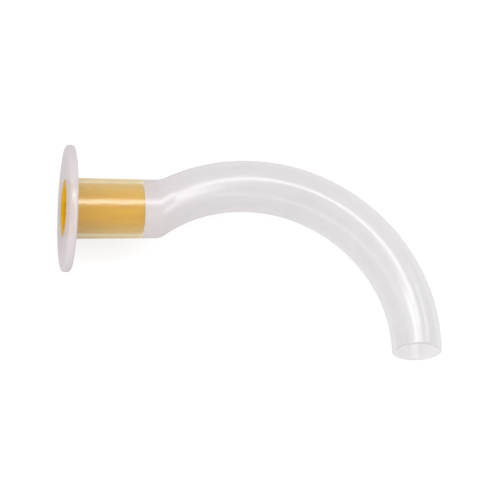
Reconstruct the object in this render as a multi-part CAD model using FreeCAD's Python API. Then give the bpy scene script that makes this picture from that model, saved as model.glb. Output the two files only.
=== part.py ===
import FreeCAD, Part
import math
import os

# Oropharyngeal airway of the Guedel pattern, adult size 3: about 90 mm from flange to tip.
# Lengths are in millimetres and angles in degrees. The airway is drawn in its plane of
# symmetry: x runs from the outer face of the flange along the bite portion, z points to the
# convex side of the curve and y goes across. It is then laid on its side on the table.

# Flange: the raked oval plate that stays outside the lips
flange_height = 30.5
flange_width = 24.5
flange_thickness = 1.6
flange_edge_round = 0.6
flange_rake = 4.8

# Bite portion: the straight oval stretch between the teeth
bite_height = 13.9
bite_width = 12.0
bite_taper = 0.5
bite_wall = 1.1
root_round = 0.5

# Heel: where the bite portion steps up into the curved tube
heel_round = 3.5
heel_hollow = 6.0
heel_margin = 0.5
heel_settle_angle = 1.5

# Curved tube: one arc over the tongue. Its centre line leaves that of the bite portion at this
# reach from the flange, and climbs at this angle.
climb_reach = 22.2
climb_angle = 31.8
arch_radius = 37.6
tip_angle = 92.8
tube_height = 11.45
tube_width = 13.0
tube_wall = 1.1
tip_edge_round = 0.35

# Insert: the coloured sleeve that stiffens the bite portion
insert_reach = 17.8
insert_wall = 1.2
insert_clearance = 0.05
collar_overhang = 0.75
collar_depth = 1.0
mouth_flare = 0.9

# Cuts run this far past the face they open
overrun = 2.0

# How finely the forms are sampled
round_steps = 2
heel_stations = 7
rest_tolerance = 0.05
rim_spots = 40
tube_rings = 60
ring_spots = 32
rest_search_steps = 24
steepest_rest = 0.4

right_angle = 90
up = FreeCAD.Vector(0, 0, 1)
rake_lean = math.tan(math.radians(flange_rake))
flange_depth = flange_thickness / math.cos(math.radians(flange_rake))
bite_end_height = bite_height - bite_taper
climb = math.radians(climb_angle)
arch_reach = climb_reach + arch_radius * math.sin(climb)
arch_centre = FreeCAD.Vector(arch_reach, 0, -arch_radius * math.cos(climb))
rim_angle = tip_angle - math.degrees(tip_edge_round / arch_radius)
seat_height = bite_height - 2 * bite_wall
seat_width = bite_width - 2 * bite_wall
insert_height = seat_height - 2 * insert_clearance
insert_width = seat_width - 2 * insert_clearance
passage_height = insert_height - 2 * insert_wall
passage_width = insert_width - 2 * insert_wall


def point(along, height):
    return FreeCAD.Vector(along, 0, height)


# An oval section spans from a point on the roof to a point on the floor of the tube. Its outline
# starts at the roof and leaves toward the same side, whichever of height and width is larger.
def oval(roof, floor, width):
    centre = (roof + floor) / 2
    rise = (roof - floor) / 2
    side = FreeCAD.Vector(0, width / 2, 0)
    if rise.Length > side.Length:
        start = 0
        ellipse = Part.Ellipse(centre + rise, centre + side, centre)
    else:
        start = math.pi / 2
        ellipse = Part.Ellipse(centre - side, centre + rise, centre)
    return Part.Wire(ellipse.toShape(start, start + 2 * math.pi))


# A raked oval lies parallel to the flange, at a distance from the flange's outer face
def raked_oval(distance, height, width):
    lean = rake_lean * height / 2
    roof = point(distance + lean, height / 2)
    floor = point(distance - lean, -height / 2)
    return oval(roof, floor, width)


def raked_sleeve(start, end, height, width):
    ends = [raked_oval(start, height, width), raked_oval(end, height, width)]
    return Part.makeLoft(ends, True, True)


# A rounded edge as steps: how far in from the face, and how far the outline falls short there
def edge_steps(radius):
    steps = []
    for number in range(round_steps + 1):
        turn = math.radians(right_angle * number / round_steps)
        steps.append((radius * (1 - math.cos(turn)), radius * (1 - math.sin(turn))))
    return steps


def smooth_step(share):
    return share * share * (3 - 2 * share)


# A point on the arch, by its angle before (positive) or past (negative) the highest point
def on_arch(radius, angle):
    turn = math.radians(angle)
    return arch_centre + point(-math.sin(turn), math.cos(turn)) * radius


def angle_before_top(spot):
    offset = spot - arch_centre
    return math.degrees(math.atan2(-offset.x, offset.z))


def arc_about(centre, start, end):
    radius = (start - centre).Length
    middle = (start - centre) + (end - centre)
    middle.normalize()
    return Part.Arc(start, centre + middle * radius, end).toShape()


def toward(start, end, distance):
    step = end - start
    step.normalize()
    return start + step * distance


# An arc beside the arch: its centre stands at a height, on the flange's side, and this far away
def heel_centre(height, distance):
    drop = height - arch_centre.z
    return point(arch_centre.x - math.sqrt(distance ** 2 - drop ** 2), height)


# The outline of the heel on one side: the straight bite portion, one arc, and the arch
def heel_outline(start, edge_height, corner_centre, edge_radius, end_angle):
    leave = point(corner_centre.x, edge_height)
    land = toward(arch_centre, corner_centre, edge_radius)
    return Part.Wire([
        Part.makeLine(point(start, edge_height), leave),
        arc_about(corner_centre, leave, land),
        arc_about(arch_centre, land, on_arch(edge_radius, end_angle)),
    ])


# Each station of the heel: roof point, floor point, width and wall. The roof has a hollow
# where it steps up, and the floor a round.
def heel_line():
    half_height = bite_end_height / 2
    roof_radius = arch_radius + tube_height / 2
    floor_radius = arch_radius - tube_height / 2
    hollow_centre = heel_centre(half_height + heel_hollow, roof_radius + heel_hollow)
    round_centre = heel_centre(heel_round - half_height, floor_radius + heel_round)
    lean = rake_lean * half_height
    heel_start = min(hollow_centre.x - lean, round_centre.x + lean) - heel_margin
    roof_landing = angle_before_top(toward(arch_centre, hollow_centre, roof_radius))
    floor_landing = angle_before_top(toward(arch_centre, round_centre, floor_radius))
    arch_start = min(roof_landing, floor_landing) - heel_settle_angle

    roof = heel_outline(heel_start + lean, half_height, hollow_centre, roof_radius, arch_start)
    floor = heel_outline(heel_start - lean, -half_height, round_centre, floor_radius, arch_start)
    thick_wall = (bite_width - passage_width) / 2
    stations = []
    pairs = zip(roof.discretize(Number=heel_stations), floor.discretize(Number=heel_stations))
    for number, (roof_point, floor_point) in enumerate(pairs):
        share = smooth_step(number / (heel_stations - 1))
        width = bite_width + (tube_width - bite_width) * share
        wall = thick_wall + (tube_wall - thick_wall) * share
        stations.append((roof_point, floor_point, width, wall))
    return heel_start, arch_start, stations


# The bite portion leaves the flange with a small hollow all round
def bite_form(heel_start):
    sections = [raked_oval(0, bite_height + 2 * root_round, bite_width + 2 * root_round)]
    for advance, spread in edge_steps(root_round):
        height = bite_height + 2 * spread
        sections.append(raked_oval(flange_depth + advance, height, bite_width + 2 * spread))
    sections.append(raked_oval(heel_start, bite_end_height, bite_width))
    return Part.makeLoft(sections, True, True)


def flange_plate():
    height = flange_height * math.cos(math.radians(flange_rake))
    front = []
    back = []
    for advance, shortfall in edge_steps(flange_edge_round):
        size = (height - 2 * shortfall, flange_width - 2 * shortfall)
        front.append(raked_oval(advance, *size))
        back.append(raked_oval(flange_depth - advance, *size))
    return Part.makeLoft(front + back[::-1], True, True)


# Flange and bite portion in one, with the insert's seat and the air passage cut through
def mouth_end(heel_start):
    seat = raked_sleeve(-overrun, insert_reach, seat_height, seat_width)
    collar_seat = collar_form(-overrun, collar_depth, 0)
    past_heel = heel_start + overrun
    passage = raked_sleeve(insert_reach - overrun, past_heel, passage_height, passage_width)
    return flange_plate().fuse(bite_form(heel_start)).cut([seat, collar_seat, passage])


# The bore of the heel starts as the passage behind the insert and ends as the bore of the arch
def heel_wall(heel_start, stations):
    outer = []
    inner = []
    for roof, floor, width, wall in stations:
        outer.append(oval(roof, floor, width))
        inner_roof = toward(roof, floor, wall)
        inner_floor = toward(floor, roof, wall)
        inner.append(oval(inner_roof, inner_floor, width - 2 * wall))
    inner[0] = raked_oval(heel_start, passage_height, passage_width)
    return Part.makeLoft(outer, True).cut(Part.makeLoft(inner, True))


# An oval across the arch, at an angle past its highest point and grown all round
def arch_oval(angle, grown):
    roof = on_arch(arch_radius + tube_height / 2 + grown, -angle)
    floor = on_arch(arch_radius - tube_height / 2 - grown, -angle)
    return oval(roof, floor, tube_width + 2 * grown)


# The arch is an oval ring turned about the centre of the curve, up to the rounded rim of the tip
def arch_wall(arch_start):
    ring = Part.Face([arch_oval(-arch_start, 0), arch_oval(-arch_start, -tube_wall)])
    across = FreeCAD.Vector(0, 1, 0)
    return ring.revolve(arch_centre, across, arch_start + rim_angle)


def tip_rim():
    outer = []
    inner = []
    for advance, spread in reversed(edge_steps(tip_edge_round)):
        angle = tip_angle - math.degrees(advance / arch_radius)
        outer.append(arch_oval(angle, -spread))
        inner.append(arch_oval(angle, spread - tube_wall))
    return Part.makeLoft(outer, True, True).cut(Part.makeLoft(inner, True, True))


# The body: flange and tube in one moulding
def airway_body():
    heel_start, arch_start, stations = heel_line()
    heel = heel_wall(heel_start, stations)
    return mouth_end(heel_start).fuse([heel, arch_wall(arch_start), tip_rim()])


def collar_form(start, end, clearance):
    height = seat_height + 2 * collar_overhang - 2 * clearance
    width = seat_width + 2 * collar_overhang - 2 * clearance
    return raked_sleeve(start, end, height, width)


# The passage through the insert opens out round its mouth
def passage_form():
    outer = (passage_height + 2 * mouth_flare, passage_width + 2 * mouth_flare)
    sections = [raked_oval(-overrun, *outer)]
    for advance, spread in edge_steps(mouth_flare):
        size = (passage_height + 2 * spread, passage_width + 2 * spread)
        sections.append(raked_oval(advance, *size))
    sections.append(raked_oval(insert_reach + overrun, passage_height, passage_width))
    return Part.makeLoft(sections, True, True)


# The insert: an oval sleeve whose collar sits in the face of the flange
def bite_block():
    sleeve = raked_sleeve(0, insert_reach, insert_height, insert_width)
    collar = collar_form(0, collar_depth, insert_clearance)
    return sleeve.fuse(collar).cut(passage_form())


# The lowest value of a function with a single dip, found by thirds
def lowest(cost, low, high):
    for step in range(rest_search_steps):
        third = (high - low) / 3
        if cost(low + third) < cost(high - third):
            high = high - third
        else:
            low = low + third
    return (low + high) / 2


# What can touch the table: the rim of the flange and the round of the curved tube
def touching_spots():
    spots = []
    for rim in flange_plate().Edges:
        spots.extend(rim.discretize(Number=rim_spots))
    for number in range(tube_rings + 1):
        ring = arch_oval(tip_angle * number / tube_rings, 0)
        spots.extend(ring.discretize(Number=ring_spots))
    return spots


# The airway lies on its side where its centre of mass is lowest: on the rim of the flange and
# the side of the tube. The direction of down leans by two slopes, along x and along z.
def resting_down(shapes):
    volume = sum(shape.Volume for shape in shapes)
    mass_centre = FreeCAD.Vector(0, 0, 0)
    for shape in shapes:
        mass_centre = mass_centre + shape.Solids[0].CenterOfMass * (shape.Volume / volume)
    arms = [spot - mass_centre for spot in touching_spots() if spot.y > mass_centre.y]

    def depth(along, height):
        return max(arm.y + along * arm.x + height * arm.z for arm in arms)

    def best_height(along):
        return lowest(lambda height: depth(along, height), -steepest_rest, steepest_rest)

    along = lowest(lambda slope: depth(slope, best_height(slope)), -steepest_rest, steepest_rest)
    down = FreeCAD.Vector(along, 1, best_height(along))
    down.normalize()
    return down


# Laid down, x still runs along the bite portion, y points to the convex side and z is up. The
# origin is under the middle of the part, on the table.
def resting_place(shapes):
    on_side = FreeCAD.Rotation(FreeCAD.Vector(1, 0, 0), -right_angle)
    down = on_side.multVec(resting_down(shapes))
    turn = FreeCAD.Rotation(down, -up).multiply(on_side)
    spots = []
    for shape in shapes:
        spots.extend(turn.multVec(spot) for spot in shape.tessellate(rest_tolerance)[0])
    middle_x = (min(spot.x for spot in spots) + max(spot.x for spot in spots)) / 2
    middle_y = (min(spot.y for spot in spots) + max(spot.y for spot in spots)) / 2
    table = min(spot.z for spot in spots)
    return FreeCAD.Placement(FreeCAD.Vector(-middle_x, -middle_y, -table), turn)


parts = {
    "airway_body": airway_body(),
    "bite_block": bite_block(),
}
place = resting_place(list(parts.values()))
os.makedirs("parts", exist_ok=True)
for name, shape in parts.items():
    shape.Placement = place
    shape.exportStep("parts/" + name + ".step")
    print(name, shape.isValid(), len(shape.Solids), round(shape.Volume, 1))
print(place)
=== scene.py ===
import math

import bpy
from mathutils import Euler, Matrix, Vector


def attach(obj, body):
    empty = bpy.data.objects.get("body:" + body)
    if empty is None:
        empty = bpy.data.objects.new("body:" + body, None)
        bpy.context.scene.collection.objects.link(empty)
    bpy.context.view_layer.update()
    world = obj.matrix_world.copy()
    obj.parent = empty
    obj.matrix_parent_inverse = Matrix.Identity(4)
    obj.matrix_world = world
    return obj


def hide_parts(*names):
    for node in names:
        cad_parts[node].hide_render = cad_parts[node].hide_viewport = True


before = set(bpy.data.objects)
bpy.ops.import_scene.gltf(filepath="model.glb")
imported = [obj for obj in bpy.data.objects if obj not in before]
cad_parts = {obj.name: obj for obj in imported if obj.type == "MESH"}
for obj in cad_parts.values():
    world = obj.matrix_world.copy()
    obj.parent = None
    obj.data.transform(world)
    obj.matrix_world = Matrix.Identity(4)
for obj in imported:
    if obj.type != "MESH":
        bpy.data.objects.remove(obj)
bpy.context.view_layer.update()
mm = 0.001

# Both pieces are drawn in the airway's plane of symmetry, in millimetres: x runs from the outer face
# of the flange along the bite portion, z to the convex side of the curve, y across.
restPlace = {
    "position": (-41.7718, 9.65348, 12.3287),
    "rollPitchYaw": (-94.1027, 5.17892, -0.185626),     # degrees: the airway lies on its side
}

airway = {
    "flangeHeight": 29.3,
    "flangeWidth": 24.42,
    "flangeThickness": 2.0,
    "mouthFace": 0.4,           # where the flange's outer face stands
    "flangeEdge": 0.75,
    "flangeRake": 2.6,
    "seatRake": 0.6,            # the insert's end stands almost square to the bite portion
    "biteHeight": 13.9,
    "biteWidth": 12.0,
    "biteTaper": 0.5,
    "biteWall": 1.1,
    "rootRound": 0.5,
    "heelRound": 3.5,
    "heelHollow": 6.0,
    "heelMargin": 0.5,
    "heelLead": 0.3,            # the straight walls stop this far before the heel
    "heelSettle": 1.5,          # degrees of arch given to the heel once both its arcs have landed
    "widenStart": 0.1,          # share of the heel after which its section grows wider
    "widenSpan": 0.6,
    "climbReach": 22.2,
    "climbAngle": 31.8,
    "archRadius": 37.6,
    "tipAngle": 92.8,
    "tubeHeight": 11.45,
    "tubeWidth": 13.0,
    "tubeWall": 1.1,
    "tubeSwell": 0.12,          # the tube is this much thicker halfway, and thinner at both ends
    "tipEdge": 0.35,
    "bevel": 0.1,               # softens each corner that the mould leaves sharp
    "partingHeight": 0.045,     # the mould's parting line along roof and floor
    "partingWidth": 0.16,
    "waviness": 0.012,
    "around": 144,              # columns of faces round the wall
}

insert = {
    "reach": 18.4,
    "wall": 1.2,
    "clearance": 0.05,
    "collarOverhang": 0.75,
    "collarDepth": 1.0,
    "mouthFlare": 0.9,
    "endRound": 0.3,
    "endLead": 0.2,             # the passage stops this far before the round at the end
    "bevel": 0.12,
    "waviness": 0.006,
    "around": 112,
}

# How many ovals each stretch of a wall is laid through
rowCounts = {
    "round": 7,
    "face": 10,
    "overInsert": 26,
    "plug": 12,
    "heel": 45,
    "arch": 120,
    "seat": 24,
    "sleeve": 30,
    "flare": 10,
    "short": 4,
    "shoulder": 3,
}

viewSizes = {
    "target": (42.56, 0.0, -9.68),      # what the middle of the picture shows
    "turn": 10.6,               # degrees round z from square on to the side
    "tilt": -19.0,
    "roll": -3.13,
    "distance": 900.0,
    "pixelsPerMm": 4.42,
    "imagePixels": 500,
    "sensor": 36.0,
    "clipStart": 0.05,          # metres
    "clipEnd": 20,
}

rake = math.radians(airway["flangeRake"])
flangeDepth = airway["mouthFace"] + airway["flangeThickness"] / math.cos(rake)
plateSize = (airway["flangeHeight"] * math.cos(rake), airway["flangeWidth"])
biteSize = (airway["biteHeight"], airway["biteWidth"])
biteEnd = airway["biteHeight"] - airway["biteTaper"]
climb = math.radians(airway["climbAngle"])
archCentre = Vector((
    airway["climbReach"] + airway["archRadius"] * math.sin(climb),
    -airway["archRadius"] * math.cos(climb),
))


def grown(size, growth):
    return (size[0] + 2 * growth, size[1] + 2 * growth)


seatSize = grown(biteSize, -airway["biteWall"])
collarSeatSize = grown(seatSize, insert["collarOverhang"])
insertSize = grown(seatSize, -insert["clearance"])
collarSize = grown(collarSeatSize, -insert["clearance"])
passageSize = grown(insertSize, -insert["wall"])

turnBack = Euler([math.radians(angle) for angle in restPlace["rollPitchYaw"]], "XYZ").to_matrix()
setDown = Matrix.Translation(Vector(restPlace["position"]) * mm)
lieDown = setDown @ turnBack.to_4x4() @ Matrix.Scale(mm, 4)


# How the moulding looks in each zone: how milky, how glossy, and its tint from plain over lilac to amber
looks = {
    "plate": (0.80, 1.0, 0.075),
    "overInsert": (0.012, 1.5, 1.0),
    "plug": (0.55, 1.0, 0.13),
    "tube": (0.42, 1.0, 0.095),
    "tip": (0.40, 0.9, 0.0),
    "inside": (0.02, 0.12, 0.0),
    "insideTip": (0.19, 0.35, 0.20),
    "seat": (0.0, 0.0, 0.0),
}
lookNames = ("milk", "gloss", "tint")
lookStep = 0.008            # share of the bite portion over which its look changes where the insert ends
tipFade = 12                # the inner wall changes its look this sharply near the tip


def between(first, last, share):
    return [start + (end - start) * share for start, end in zip(first, last)]


# The faces lean with the flange at the mouth, and hardly at all where the insert ends
def leanAt(distance):
    share = min(1.0, distance / insert["reach"])
    angle = airway["flangeRake"] + (airway["seatRake"] - airway["flangeRake"]) * share
    return math.tan(math.radians(angle))


# A row is one oval of the wall: its roof and floor points, width, parting line and looks
def rakedRow(distance, size, parting=0.0, look=looks["inside"]):
    lean = leanAt(distance) * size[0] / 2
    return [distance + lean, size[0] / 2, distance - lean, -size[0] / 2, size[1], parting, *look]


def withLook(row, look):
    return [*row[:-len(look)], *look]


def archRow(angle, growth, parting=0.0, look=looks["inside"]):
    out = Vector((math.sin(math.radians(angle)), math.cos(math.radians(angle))))
    halfHeight = airway["tubeHeight"] / 2 + growth + tubeSwell(angle)
    roof = archCentre + out * (airway["archRadius"] + halfHeight)
    floor = archCentre + out * (airway["archRadius"] - halfHeight)
    return [*roof, *floor, airway["tubeWidth"] + 2 * growth, parting, *look]


def tubeSwell(angle):
    along = (angle - heel["endAngle"]) / (airway["tipAngle"] - heel["endAngle"])
    return airway["tubeSwell"] * (math.sin(math.pi * max(0.0, along)) * 2 - 1)


def addRun(rows, first, last, count):
    rows += [between(first, last, step / (count - 1)) for step in range(count)]


# A quarter round as steps: how far in from the face, and how far the outline falls short there
def quarterRound(radius, count=rowCounts["round"]):
    turns = [math.pi / 2 * step / (count - 1) for step in range(count)]
    return [(radius * (1 - math.cos(turn)), radius * (1 - math.sin(turn))) for turn in turns]


# The heel's roof and floor are each a straight line, one arc, and the start of the arch
def arcPiece(centre, start, end):
    first = math.atan2(start.y - centre.y, start.x - centre.x)
    sweep = math.atan2(end.y - centre.y, end.x - centre.x) - first
    sweep = (sweep + math.pi) % (2 * math.pi) - math.pi
    radius = (start - centre).length

    def at(share):
        angle = first + sweep * share
        return centre + Vector((math.cos(angle), math.sin(angle))) * radius
    return abs(sweep) * radius, at


def linePiece(start, end):
    return (end - start).length, lambda share: start.lerp(end, share)


def pointAlong(pieces, share):
    left = share * sum(length for length, at in pieces)
    for length, at in pieces[:-1]:
        if left <= length:
            return at(left / length)
        left -= length
    length, at = pieces[-1]
    return at(min(1.0, left / length))


def planHeel():
    half = biteEnd / 2
    lean = leanAt(insert["reach"]) * half
    radii = {
        "roof": airway["archRadius"] + airway["tubeHeight"] / 2 - airway["tubeSwell"],
        "floor": airway["archRadius"] - airway["tubeHeight"] / 2 + airway["tubeSwell"],
    }
    heights = {"roof": half + airway["heelHollow"], "floor": airway["heelRound"] - half}
    reaches = {
        "roof": radii["roof"] + airway["heelHollow"],
        "floor": radii["floor"] + airway["heelRound"],
    }
    edges = {"roof": half, "floor": -half}
    corners = {}
    landings = {}
    for side in ("roof", "floor"):
        drop = heights[side] - archCentre.y
        corners[side] = Vector((archCentre.x - math.sqrt(reaches[side] ** 2 - drop ** 2), heights[side]))
        landings[side] = archCentre + (corners[side] - archCentre).normalized() * radii[side]
    start = min(corners["roof"].x - lean, corners["floor"].x + lean) - airway["heelMargin"]
    offsets = [landing - archCentre for landing in landings.values()]
    landed = max(math.degrees(math.atan2(offset.x, offset.y)) for offset in offsets)
    endAngle = landed + airway["heelSettle"]
    out = Vector((math.sin(math.radians(endAngle)), math.cos(math.radians(endAngle))))
    outlines = {}
    for side, sign in (("roof", 1), ("floor", -1)):
        leave = Vector((corners[side].x, edges[side]))
        outlines[side] = [
            linePiece(Vector((start + sign * lean, edges[side])), leave),
            arcPiece(corners[side], leave, landings[side]),
            arcPiece(archCentre, landings[side], archCentre + out * radii[side]),
        ]
    return {"start": start, "endAngle": endAngle, "outlines": outlines}


heel = planHeel()


def heelRow(share, inner):
    roof = pointAlong(heel["outlines"]["roof"], share)
    floor = pointAlong(heel["outlines"]["floor"], share)
    turned = min(1.0, max(0.0, (share - airway["widenStart"]) / airway["widenSpan"]))
    smooth = turned * turned * (3 - 2 * turned)
    width = airway["biteWidth"] + (airway["tubeWidth"] - airway["biteWidth"]) * smooth
    if not inner:
        return [*roof, *floor, width, 1.0, *between(looks["plug"], looks["tube"], smooth)]
    sideWall = (airway["biteWidth"] - passageSize[1]) / 2
    sideWall = sideWall + (airway["tubeWall"] - sideWall) * smooth
    roofWall = (biteEnd - passageSize[0]) / 2
    roofWall = roofWall + (airway["tubeWall"] - roofWall) * smooth
    inward = (floor - roof).normalized() * roofWall
    return [*(roof + inward), *(floor - inward), width - 2 * sideWall, 0.0, *looks["inside"]]


pastRound = 1.3             # a straight stretch starts this many radii past its round


def flangeRows():
    rows = []
    mouth = airway["mouthFace"]
    edge = airway["flangeEdge"]
    root = airway["rootRound"]
    plate = (0.0, looks["plate"])
    count = rowCounts["face"]
    innerFace = rakedRow(mouth, grown(collarSeatSize, airway["bevel"]), *plate)
    addRun(rows, innerFace, rakedRow(mouth, grown(plateSize, -edge), *plate), count)
    for advance, short in quarterRound(edge)[1:]:
        rows.append(rakedRow(mouth + advance, grown(plateSize, -short), *plate))
    for advance, short in reversed(quarterRound(edge)):
        rows.append(rakedRow(flangeDepth - advance, grown(plateSize, -short), *plate))
    outerBack = rakedRow(flangeDepth, grown(plateSize, -edge * pastRound), *plate)
    addRun(rows, outerBack, rakedRow(flangeDepth, grown(biteSize, root * pastRound), *plate), count)
    for advance, spread in quarterRound(root):
        share = 1.0 - spread / root
        look = between(looks["plate"], looks["overInsert"], share)
        rows.append(rakedRow(flangeDepth + advance, grown(biteSize, spread), share, look))
    return rows


heelShares = [step / (rowCounts["heel"] - 1) for step in range(rowCounts["heel"])]


def outerRows():
    rows = flangeRows()
    first = rakedRow(flangeDepth + airway["rootRound"] * pastRound, biteSize, 1.0, looks["overInsert"])
    endSize = (biteEnd, airway["biteWidth"])
    last = rakedRow(heel["start"] - airway["heelLead"], endSize, 1.0, looks["overInsert"])
    shareAtEnd = (insert["reach"] - first[0]) / (last[0] - first[0])
    addRun(rows, first, between(first, last, shareAtEnd - lookStep), rowCounts["overInsert"])
    plug = withLook(between(first, last, shareAtEnd + lookStep), looks["plug"])
    addRun(rows, plug, withLook(last, looks["plug"]), rowCounts["plug"])
    return rows + [heelRow(share, False) for share in heelShares]


def innerRows():
    rows = [heelRow(share, True) for share in reversed(heelShares)]
    bevel = airway["bevel"]
    reach = insert["reach"]
    mouth = airway["mouthFace"]
    depth = mouth + insert["collarDepth"]
    seat = (0.0, looks["seat"])
    passageStart = rakedRow(heel["start"] - airway["heelLead"], passageSize)
    addRun(rows, passageStart, rakedRow(reach + bevel, passageSize), rowCounts["short"])
    shoulder = [rakedRow(reach, grown(passageSize, bevel)), rakedRow(reach, grown(seatSize, -bevel))]
    addRun(rows, *shoulder, rowCounts["short"])
    seatEnd = rakedRow(reach - bevel, seatSize, *seat)
    addRun(rows, seatEnd, rakedRow(depth + bevel, seatSize, *seat), rowCounts["seat"])
    step = [rakedRow(depth, grown(seatSize, bevel)), rakedRow(depth, grown(collarSeatSize, -bevel))]
    addRun(rows, *step, rowCounts["shoulder"])
    collarEnd = rakedRow(depth - bevel, collarSeatSize)
    addRun(rows, collarEnd, rakedRow(mouth + bevel, collarSeatSize), rowCounts["short"])
    return rows


def archRows():
    rows = []
    wall = airway["tubeWall"]
    count = rowCounts["arch"]
    edgeAngle = math.degrees(airway["tipEdge"] / airway["archRadius"])
    sweep = airway["tipAngle"] - edgeAngle - heel["endAngle"]
    angles = [heel["endAngle"] + sweep * step / count for step in range(1, count + 1)]
    for place, angle in enumerate(angles):
        rows.append(archRow(angle, 0, 1.0, between(looks["tube"], looks["tip"], place / (count - 1))))
    rim = []
    for advance, short in quarterRound(airway["tipEdge"]):
        rim.append((airway["tipAngle"] - math.degrees(advance / airway["archRadius"]), short))
    rows += [archRow(angle, -short, 0.0, looks["tip"]) for angle, short in reversed(rim[:-1])]
    rows += [archRow(angle, short - wall, 0.0, looks["insideTip"]) for angle, short in rim]
    for place, angle in reversed(list(enumerate(angles[:-1]))):
        look = between(looks["inside"], looks["insideTip"], (place / (count - 1)) ** tipFade)
        rows.append(archRow(angle, -wall, 0.0, look))
    return rows


def insertRows():
    rows = []
    bevel = insert["bevel"]
    flare = insert["mouthFlare"]
    mouth = airway["mouthFace"]
    depth = mouth + insert["collarDepth"]
    end = insert["reach"] - insert["endRound"]
    face = [rakedRow(mouth, grown(passageSize, flare)), rakedRow(mouth, grown(collarSize, -bevel))]
    addRun(rows, *face, rowCounts["short"])
    collar = [rakedRow(mouth + bevel, collarSize), rakedRow(depth - bevel, collarSize)]
    addRun(rows, *collar, rowCounts["short"])
    step = [rakedRow(depth, grown(collarSize, -bevel)), rakedRow(depth, grown(insertSize, bevel))]
    addRun(rows, *step, rowCounts["shoulder"])
    addRun(rows, rakedRow(depth + bevel, insertSize), rakedRow(end, insertSize), rowCounts["sleeve"])
    for advance, short in reversed(quarterRound(insert["endRound"])[:-1]):
        rows.append(rakedRow(insert["reach"] - advance, grown(insertSize, -short)))
    for advance, short in quarterRound(insert["endRound"]):
        rows.append(rakedRow(insert["reach"] - advance, grown(passageSize, short)))
    passage = [rakedRow(end - insert["endLead"], passageSize), rakedRow(mouth + flare, passageSize)]
    addRun(rows, *passage, rowCounts["sleeve"])
    for advance, spread in reversed(quarterRound(flare, rowCounts["flare"])[1:-1]):
        rows.append(rakedRow(mouth + advance, grown(passageSize, spread)))
    return rows


# Sockets as Python values: an expression on them adds its Math nodes
class Wire:
    def __init__(self, maker, socket):
        self.maker = maker
        self.socket = socket

    def math(self, operation, *others):
        values = dict(enumerate((self, *others)))
        return self.maker.add("ShaderNodeMath", {"operation": operation}, values)

    def __add__(self, other):
        return self.math("ADD", other)

    __radd__ = __add__

    def __mul__(self, other):
        return self.math("MULTIPLY", other)

    __rmul__ = __mul__

    def __sub__(self, other):
        return self.math("SUBTRACT", other)

    def __rsub__(self, other):
        return self.maker.add("ShaderNodeMath", {"operation": "SUBTRACT"}, {0: other, 1: self})

    def __truediv__(self, other):
        return self.math("DIVIDE", other)

    def __pow__(self, other):
        return self.math("POWER", other)

    def __mod__(self, other):
        return self.math("MODULO", other)


# Adds any node from its type, its settings, and the values or links of its sockets
class Maker:
    def __init__(self, tree):
        self.tree = tree
        tree.nodes.clear()

    def add(self, nodeType, settings=None, inputs=None, output=0):
        node = self.tree.nodes.new(nodeType)
        for name, value in (settings or {}).items():
            if name == "stops":
                while len(node.color_ramp.elements) < len(value):
                    node.color_ramp.elements.new(1.0)
                for stop, (place, colour) in zip(node.color_ramp.elements, value):
                    stop.position = place
                    stop.color = (*colour, 1)
            else:
                setattr(node, name, value)
        for key, value in (inputs or {}).items():
            if isinstance(value, Wire):
                self.tree.links.new(value.socket, node.inputs[key])
            else:
                node.inputs[key].default_value = value
        return Wire(self, node.outputs[output]) if len(node.outputs) else node

    def vector(self, operation, first, second):
        return self.add("ShaderNodeVectorMath", {"operation": operation}, {0: first, 1: second})

    def scaled(self, vector, factor):
        return self.add("ShaderNodeVectorMath", {"operation": "SCALE"}, {0: vector, "Scale": factor})


loftSizes = {
    "crowding": 0.42,           # columns crowd together beside the parting line
    "weld": 0.000002,           # metres: joins the sheet's edges into a closed wall
    "waveScale": 170.0,
    "waveDetail": 1.0,
    "waveSeed": 3.0,
}

loftInputs = {
    "Rows": "Geometry",
    "Around": "Int",
    "Across": "Vector",
    "Parting Height": "Float",
    "Parting Width": "Float",
    "Waviness": "Float",
    "Material": "Material",
}


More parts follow.
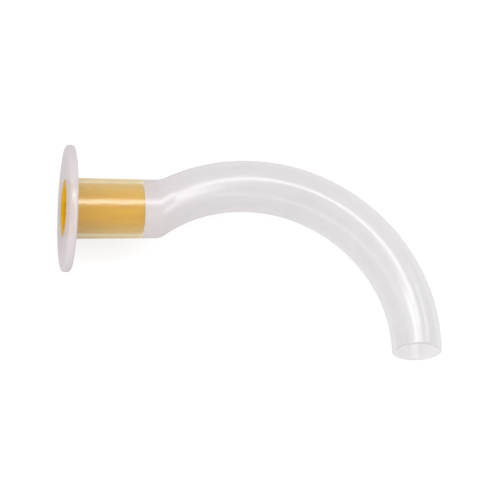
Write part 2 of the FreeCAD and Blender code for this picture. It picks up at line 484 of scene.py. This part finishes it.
# One tree for both pieces: it lays an oval through each row of points and skins them into a closed wall
def buildOvalLoft():
    tree = bpy.data.node_groups.new("ovalLoft", "GeometryNodeTree")
    tree.interface.new_socket("Geometry", in_out="OUTPUT", socket_type="NodeSocketGeometry")
    for name, kind in loftInputs.items():
        tree.interface.new_socket(name, in_out="INPUT", socket_type="NodeSocket" + kind)
    make = Maker(tree)
    source = tree.nodes.new("NodeGroupInput")

    def given(name):
        return Wire(make, source.outputs[name])

    counted = {"Geometry": given("Rows")}
    rowCount = make.add("GeometryNodeAttributeDomainSize", {"component": "MESH"}, counted, "Point Count")
    columns = given("Around") + 1
    grid = {"Vertices X": rowCount + 1, "Vertices Y": columns}
    sheet = make.add("GeometryNodeMeshGrid", {}, grid, "Mesh")
    index = make.add("GeometryNodeInputIndex")
    row = (index / columns).math("FLOOR") % rowCount
    column = index % columns

    def sampled(name, kind):
        named = {"Name": name}
        value = make.add("GeometryNodeInputNamedAttribute", {"data_type": kind}, named, "Attribute")
        settings = {"data_type": kind, "domain": "POINT"}
        inputs = {"Geometry": given("Rows"), "Value": value, "Index": row}
        return make.add("GeometryNodeSampleIndex", settings, inputs)

    roof = sampled("roof", "FLOAT_VECTOR")
    floor = sampled("floor", "FLOAT_VECTOR")
    width = sampled("width", "FLOAT")
    parting = sampled("parting", "FLOAT")
    turn = column / given("Around") * (2 * math.pi)
    turn = turn - (turn * 2).math("SINE") * loftSizes["crowding"]
    centre = make.scaled(make.vector("ADD", roof, floor), 0.5)
    rise = make.scaled(make.vector("SUBTRACT", roof, floor), 0.5)
    aside = turn.math("SINE") * width * 0.5
    upward = turn.math("COSINE")
    away = aside / given("Parting Width")
    ridge = (0 - away * away).math("EXPONENT") * parting * given("Parting Height") * upward.math("SIGN")
    upright = make.add("ShaderNodeVectorMath", {"operation": "NORMALIZE"}, {0: rise})
    place = make.vector("ADD", centre, make.scaled(rise, upward))
    place = make.vector("ADD", place, make.scaled(upright, ridge))
    place = make.vector("ADD", place, make.scaled(given("Across"), aside))
    skin = make.add("GeometryNodeSetPosition", {}, {"Geometry": sheet, "Position": place})
    for name in lookNames:
        kept = {"Geometry": skin, "Name": name, "Value": sampled(name, "FLOAT")}
        settings = {"data_type": "FLOAT", "domain": "POINT"}
        skin = make.add("GeometryNodeStoreNamedAttribute", settings, kept)
    welded = {"Geometry": skin, "Distance": loftSizes["weld"]}
    skin = make.add("GeometryNodeMergeByDistance", {}, welded)
    skin = make.add("GeometryNodeFlipFaces", {}, {"Mesh": skin})        # outwards
    noise = make.add("ShaderNodeTexNoise", {"noise_dimensions": "4D"}, {
        "Vector": make.add("GeometryNodeInputPosition"),
        "Scale": loftSizes["waveScale"],
        "Detail": loftSizes["waveDetail"],
        "W": loftSizes["waveSeed"],
    })
    outward = make.add("GeometryNodeInputNormal")
    swell = make.scaled(outward, (noise - 0.5) * given("Waviness"))
    skin = make.add("GeometryNodeSetPosition", {}, {"Geometry": skin, "Offset": swell})
    skin = make.add("GeometryNodeSetShadeSmooth", {}, {"Geometry": skin})
    skin = make.add("GeometryNodeRealizeInstances", {}, {"Geometry": skin})
    skin = make.add("GeometryNodeSetMaterial", {}, {"Geometry": skin, "Material": given("Material")})
    result = tree.nodes.new("NodeGroupOutput")
    tree.links.new(skin.socket, result.inputs[0])
    return tree


def rowCloud(name, rows):
    mesh = bpy.data.meshes.new(name + "Rows")
    roofs = [lieDown @ Vector((row[0], 0, row[1])) for row in rows]
    floors = [lieDown @ Vector((row[2], 0, row[3])) for row in rows]
    mesh.from_pydata(roofs, [], [])
    columns = {
        "roof": ("FLOAT_VECTOR", "vector", [value for spot in roofs for value in spot]),
        "floor": ("FLOAT_VECTOR", "vector", [value for spot in floors for value in spot]),
        "width": ("FLOAT", "value", [row[4] * mm for row in rows]),
        "parting": ("FLOAT", "value", [row[5] for row in rows]),
    }
    for place, label in enumerate(lookNames):
        columns[label] = ("FLOAT", "value", [row[place - len(lookNames)] for row in rows])
    for label, (kind, field, values) in columns.items():
        mesh.attributes.new(label, kind, "POINT").data.foreach_set(field, values)
    cloud = bpy.data.objects.new(name, mesh)
    bpy.context.scene.collection.objects.link(cloud)
    return cloud


def skinRows(name, rows, sizes, material):
    cloud = rowCloud(name, rows)
    modifier = cloud.modifiers.new("ovalLoft", "NODES")
    modifier.node_group = ovalLoft
    values = {
        "Around": sizes["around"],
        "Across": tuple(turnBack @ Vector((0, -1, 0))),
        "Parting Height": sizes.get("partingHeight", 0) * mm,
        "Parting Width": sizes.get("partingWidth", 1) * mm,
        "Waviness": sizes["waviness"] * mm,
        "Material": material,
    }
    for item in ovalLoft.interface.items_tree:
        if item.in_out == "INPUT" and item.name in values:
            modifier[item.identifier] = values[item.name]
    bpy.context.view_layer.update()
    ready = cloud.evaluated_get(bpy.context.evaluated_depsgraph_get())
    mesh = bpy.data.meshes.new_from_object(ready)
    cloud.modifiers.clear()
    cloud.data = mesh
    mesh.name = name
    print(name, len(mesh.vertices), "vertices,", len(mesh.polygons), "faces")
    return cloud


white = (1, 1, 1, 1)


def newMaterial(name):
    material = bpy.data.materials.new(name)
    material.use_nodes = True
    return material, Maker(material.node_tree)


polyethyleneLook = {
    "clearTint": (0.986, 0.986, 0.986, 1),
    "tints": [(0.0, (0.685, 0.683, 0.680)), (0.1, (0.705, 0.638, 0.678)), (1.0, (0.86, 0.78, 0.46))],
    "plainGlow": (0.69, 0.662, 0.678, 1),       # colours of the light that comes through
    "amberGlow": (0.86, 0.78, 0.46, 1),
    "through": 0.5,             # share of the milk that shows the light from behind
    "shade": 0.93,
    "shadeRange": 0.14,         # a soft cloud lightens the colour by this much
    "milkShare": 0.9,
    "milkRange": 0.2,           # and thickens the milk
    "grazing": 1.3,             # over the insert, milk gathers towards the edges of the wall
    "grazingPower": 1.05,
    "thickest": 0.9,            # the milk never hides more than this
    "cloudScale": 140.0,
    "cloudDetail": 4.0,
    "grainScale": 2600.0,
    "grainDetail": 3.0,
    "grainHeight": 0.35,
    "bumpDistance": 0.00001,
    "bumpStrength": 0.6,
    "roughness": 0.5,
    "roughnessRange": 0.1,
    "specular": 0.1,
    "gloss": 0.05,
    "glossRoughness": 0.2,
}


def noiseOn(make, spot, scale, detail):
    return make.add("ShaderNodeTexNoise", {}, {"Vector": spot, "Scale": scale, "Detail": detail})


def milkyPolyethylene():
    look = polyethyleneLook
    material, make = newMaterial("milkyPolyethylene")
    spot = make.add("ShaderNodeTexCoord", {}, {}, "Object")
    milk, gloss, tint = (
        make.add("ShaderNodeAttribute", {"attribute_name": name}, {}, "Fac") for name in lookNames)
    cloud = noiseOn(make, spot, look["cloudScale"], look["cloudDetail"])
    grain = noiseOn(make, spot, look["grainScale"], look["grainDetail"])
    even = make.add("ShaderNodeValToRGB", {"stops": look["tints"]}, {0: tint})
    colour = make.scaled(even, look["shade"] + cloud * look["shadeRange"])
    normal = make.add("ShaderNodeBump", {}, {
        "Height": grain * look["grainHeight"] + cloud,
        "Distance": look["bumpDistance"],
        "Strength": look["bumpStrength"],
    })
    front = make.add("ShaderNodeBsdfPrincipled", {}, {
        "Base Color": colour,
        "Roughness": look["roughness"] + cloud * look["roughnessRange"],
        "Normal": normal,
        "Specular IOR Level": look["specular"],
    })
    plainGlow = make.add("ShaderNodeBsdfTranslucent", {}, {"Color": look["plainGlow"], "Normal": normal})
    amberGlow = make.add("ShaderNodeBsdfTranslucent", {}, {"Color": look["amberGlow"], "Normal": normal})
    amberShare = tint * tint
    behind = make.add("ShaderNodeMixShader", {}, {0: amberShare, 1: plainGlow, 2: amberGlow})
    body = make.add("ShaderNodeMixShader", {}, {0: look["through"], 1: front, 2: behind})
    clear = make.add("ShaderNodeBsdfTransparent", {}, {"Color": look["clearTint"]})
    facing = make.add("ShaderNodeLayerWeight", {}, {"Blend": 0.5}, "Facing")
    gathered = amberShare * facing ** look["grazingPower"] * look["grazing"]
    cover = milk * (look["milkShare"] + cloud * look["milkRange"]) + gathered
    cover = cover.math("MINIMUM", look["thickest"])
    wall = make.add("ShaderNodeMixShader", {}, {0: cover, 1: clear, 2: body})
    shine = make.add("ShaderNodeBsdfGlossy", {}, {
        "Color": white,
        "Roughness": look["glossRoughness"],
        "Normal": normal,
    })
    surface = make.add("ShaderNodeMixShader", {}, {0: gloss * look["gloss"], 1: wall, 2: shine})
    make.add("ShaderNodeOutputMaterial", {}, {"Surface": surface})
    return material


amberLook = {
    "colours": [(0.3, (0.645, 0.368, 0.001)), (0.7, (0.795, 0.48, 0.006))],
    "glow": (0.72, 0.424, 0.0035, 1),
    "through": 0.35,
    "cloudScale": 220.0,
    "cloudDetail": 4.0,
    "cloudShare": 0.45,
    "streakScale": 620.0,
    "streakDetail": 3.0,
    "streakShare": 0.55,
    "streakStretch": (0.12, 1.0, 1.0),          # the streaks run along the insert
    "roughness": 0.35,
    "roughnessRange": 0.1,
    "specular": 0.15,
}


def amberInsert():
    look = amberLook
    material, make = newMaterial("amberInsert")
    spot = make.add("ShaderNodeTexCoord", {}, {}, "Object")
    cloud = noiseOn(make, spot, look["cloudScale"], look["cloudDetail"])
    lengthwise = make.vector("MULTIPLY", spot, look["streakStretch"])
    streak = noiseOn(make, lengthwise, look["streakScale"], look["streakDetail"])
    mixed = cloud * look["cloudShare"] + streak * look["streakShare"]
    colour = make.add("ShaderNodeValToRGB", {"stops": look["colours"]}, {0: mixed})
    front = make.add("ShaderNodeBsdfPrincipled", {}, {
        "Base Color": colour,
        "Roughness": look["roughness"] + cloud * look["roughnessRange"],
        "Specular IOR Level": look["specular"],
    })
    behind = make.add("ShaderNodeBsdfTranslucent", {}, {"Color": look["glow"]})
    shader = make.add("ShaderNodeMixShader", {}, {0: look["through"], 1: front, 2: behind})
    make.add("ShaderNodeOutputMaterial", {}, {"Surface": shader})
    return material


ovalLoft = buildOvalLoft()
print("tree for the oval walls built")
airwayRows = outerRows() + archRows() + innerRows()
airwayBody = skinRows("airwayMoulding", airwayRows, airway, milkyPolyethylene())
amberSleeve = skinRows("amberSleeve", insertRows(), insert, amberInsert())
for piece, node, slot in (
    (airwayBody, "airway_body", "milky_polyethylene"),
    (amberSleeve, "bite_block", "amber_insert"),
):
    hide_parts(node)
    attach(piece, "root")


# The view: square on to the side, then turned, tilted and rolled, all in the airway's own drawing frame
def viewFrame():
    turn = math.radians(viewSizes["turn"])
    tilt = math.radians(viewSizes["tilt"])
    roll = math.radians(viewSizes["roll"])
    back = Vector((-math.sin(turn) * math.cos(tilt), -math.cos(turn) * math.cos(tilt), math.sin(tilt)))
    level = Vector((math.cos(turn), -math.sin(turn), 0))
    upright = back.cross(level)
    right = level * math.cos(roll) + upright * math.sin(roll)
    up = upright * math.cos(roll) - level * math.sin(roll)
    return [turnBack @ axis for axis in (right, up, back)]


right, up, back = viewFrame()
aim = lieDown @ Vector(viewSizes["target"])
cameraData = bpy.data.cameras.new("camera")
camera = bpy.data.objects.new("camera", cameraData)
bpy.context.scene.collection.objects.link(camera)
widthInView = viewSizes["imagePixels"] / viewSizes["pixelsPerMm"]
cameraData.sensor_width = viewSizes["sensor"]
cameraData.lens = viewSizes["distance"] / widthInView * viewSizes["sensor"]
cameraData.clip_start = viewSizes["clipStart"]
cameraData.clip_end = viewSizes["clipEnd"]
facing = Matrix((right, up, back)).transposed().to_4x4()
camera.matrix_world = Matrix.Translation(aim + back * viewSizes["distance"] * mm) @ facing
bpy.context.scene.camera = camera
print("camera placed")

# Soft boxes round the camera, in degrees from its line of sight. The tube mirrors those that show.
lampSizes = {
    "topBox": {"up": 34, "right": 2, "spin": 0, "size": (0.42, 0.22), "strength": 4.6, "shows": True},
    "leftBox": {"up": 27, "right": -18, "spin": 33, "size": (0.24, 0.07), "strength": 8.0, "shows": True},
    "cornerBox": {"up": 26, "right": 26, "spin": -45, "size": (0.34, 0.16), "strength": 4.4, "shows": True},
    "sideBox": {"up": 2, "right": 35, "spin": -90, "size": (0.42, 0.22), "strength": 3.4, "shows": True},
    "farBox": {"up": 47, "right": 60, "spin": -45, "size": (0.24, 0.16), "strength": 3.4, "shows": True},
    "fillBox": {"up": -35, "right": -48, "spin": 40, "size": (0.7, 0.7), "strength": 2.8, "shows": False},
}
lampDistance = 0.8          # metres


def addLamp(name, lamp):
    upward = math.radians(lamp["up"])
    aside = math.radians(lamp["right"])
    direction = (back + up * math.tan(upward) + right * math.tan(aside)).normalized()
    data = bpy.data.lights.new(name, "AREA")
    data.shape = "RECTANGLE"
    data.size, data.size_y = lamp["size"]
    data.energy = lamp["strength"] * math.pi * data.size * data.size_y
    box = bpy.data.objects.new(name, data)
    bpy.context.scene.collection.objects.link(box)
    box.visible_glossy = lamp["shows"]
    level = (right - direction * right.dot(direction)).normalized()
    facing = Matrix((level, direction.cross(level), direction)).transposed()
    facing = facing @ Matrix.Rotation(math.radians(lamp["spin"]), 3, "Z")
    box.matrix_world = Matrix.Translation(aim + direction * lampDistance) @ facing.to_4x4()


for name, lamp in lampSizes.items():
    addLamp(name, lamp)

surroundSizes = {
    "floorSpan": 6.0,
    "floorTone": 0.27,          # takes the lamps' light and the shadow
    "floorGlow": 0.70,          # makes up the rest to white
    "skyStrength": 0.87,
}


# 1 for straight views and for the rays that are named, which meet a white surround, and 0 for all others
def seenShare(make, *rays):
    total = make.add("ShaderNodeLightPath", {}, {}, "Is Camera Ray")
    for name in rays:
        total = total.math("MAXIMUM", make.add("ShaderNodeLightPath", {}, {}, name))
    return total


def addFloor():
    half = surroundSizes["floorSpan"] / 2
    mesh = bpy.data.meshes.new("floor")
    corners = [(-half, -half, 0), (half, -half, 0), (half, half, 0), (-half, half, 0)]
    mesh.from_pydata(corners, [], [(0, 1, 2, 3)])
    material, make = newMaterial("whiteTable")
    tone = surroundSizes["floorTone"]
    plain = make.add("ShaderNodeBsdfDiffuse", {}, {"Color": (tone, tone, tone, 1)})
    seen = seenShare(make, "Is Glossy Ray", "Is Transmission Ray")
    glow = make.add("ShaderNodeEmission", {}, {"Strength": seen * surroundSizes["floorGlow"]})
    both = make.add("ShaderNodeAddShader", {}, {0: plain, 1: glow})
    make.add("ShaderNodeOutputMaterial", {}, {"Surface": both})
    mesh.materials.append(material)
    floor = bpy.data.objects.new("floor", mesh)
    bpy.context.scene.collection.objects.link(floor)


def addSky():
    world = bpy.data.worlds.new("studio")
    bpy.context.scene.world = world
    world.use_nodes = True
    make = Maker(world.node_tree)
    seen = seenShare(make, "Is Transmission Ray")
    strength = surroundSizes["skyStrength"] + seen * (1 - surroundSizes["skyStrength"])
    light = make.add("ShaderNodeBackground", {}, {"Color": white, "Strength": strength})
    make.add("ShaderNodeOutputWorld", {}, {"Surface": light})


addFloor()
addSky()
bpy.context.scene.view_settings.view_transform = "Standard"
print("studio lit")
